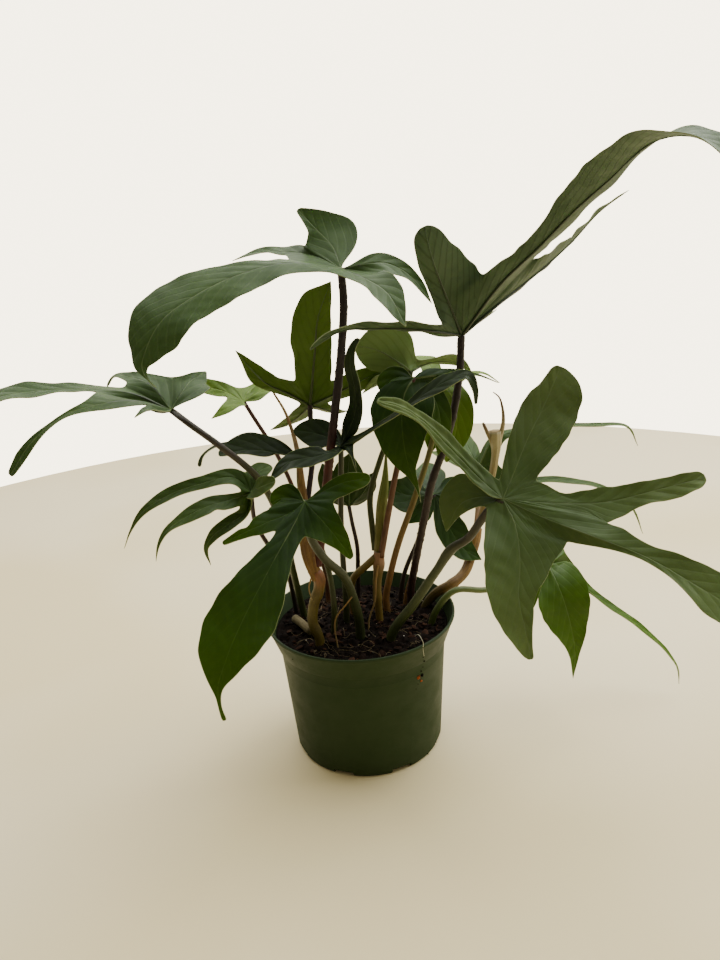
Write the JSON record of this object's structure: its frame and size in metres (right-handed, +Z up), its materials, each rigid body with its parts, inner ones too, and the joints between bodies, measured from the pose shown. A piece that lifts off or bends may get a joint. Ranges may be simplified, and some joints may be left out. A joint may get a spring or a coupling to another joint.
{
  "type": "potted philodendron",
  "caption": "Young philodendron with long pointed-lobed green leaves on slender purple and olive stalks, rooted in dark soil in a round green plastic nursery pot.",
  "frame": {"origin": "centre of the pot's flat underside, on the surface that it stands on", "axes": "+Z up along the pot's axis, +Y away from the viewer of the picture, +X to that viewer's right"},
  "size_m": [0.5649, 0.3575, 0.4966],
  "materials": {
    "pot_plastic": "satin moulded polypropylene",
    "soil_mix": "damp bark and peat",
    "dark_leaf": "waxy dark green leaf",
    "fresh_leaf": "smooth fresh green leaf",
    "grey_leaf": "grey-green leaf with a soft sheen",
    "purple_stalk": "warty purple-brown stalk",
    "red_stalk": "smooth red-brown stalk",
    "olive_stalk": "smooth olive stalk",
    "golden_stem": "fibrous golden-brown stem",
    "dry_sheath": "dry papery sheath",
    "pale_sheath": "pale fresh sheath",
    "straw_stub": "dry cut stem",
    "tan_root": "matt air root"
  },
  "bodies": {
    "root": {"pot": "pot_plastic", "soil": "soil_mix", "stem_left": "golden_stem", "stem_middle": "olive_stalk", "stem_right": "golden_stem", "leaf_crown_left": "grey_leaf", "leaf_crown_right": "grey_leaf", "leaf_far_left": "grey_leaf", "leaf_upright": "fresh_leaf", "leaf_back_left": "fresh_leaf", "leaf_centre_hanging": "dark_leaf", "leaf_centre_back": "fresh_leaf", "leaf_front_right": "dark_leaf", "leaf_low_right": "fresh_leaf", "leaf_back_right": "grey_leaf", "leaf_front_left": "dark_leaf", "leaf_centre_dark": "dark_leaf", "leaf_left_middle": "dark_leaf", "leaf_left_low": "grey_leaf", "leaf_centre_round": "grey_leaf", "leaf_inner_right": "dark_leaf", "leaf_inner_left": "dark_leaf", "stalk_crown_left": "purple_stalk", "stalk_crown_right": "purple_stalk", "stalk_far_left": "olive_stalk", "stalk_upright": "purple_stalk", "stalk_back_left": "red_stalk", "stalk_centre_hanging": "red_stalk", "stalk_centre_back": "golden_stem", "stalk_front_right": "olive_stalk", "stalk_low_right": "olive_stalk", "stalk_back_right": "golden_stem", "stalk_front_left": "olive_stalk", "stalk_centre_dark": "olive_stalk", "stalk_left_middle": "olive_stalk", "stalk_left_low": "purple_stalk", "stalk_centre_round": "olive_stalk", "stalk_inner_right": "purple_stalk", "stalk_inner_left": "purple_stalk", "shoot_left": "dry_sheath", "sheath_middle": "pale_sheath", "horned_stub": "dry_sheath", "small_shoot": "dry_sheath", "cut_stub": "straw_stub", "root_left": "tan_root", "root_middle": "tan_root", "root_front": "tan_root"}
  },
  "joints": []
}
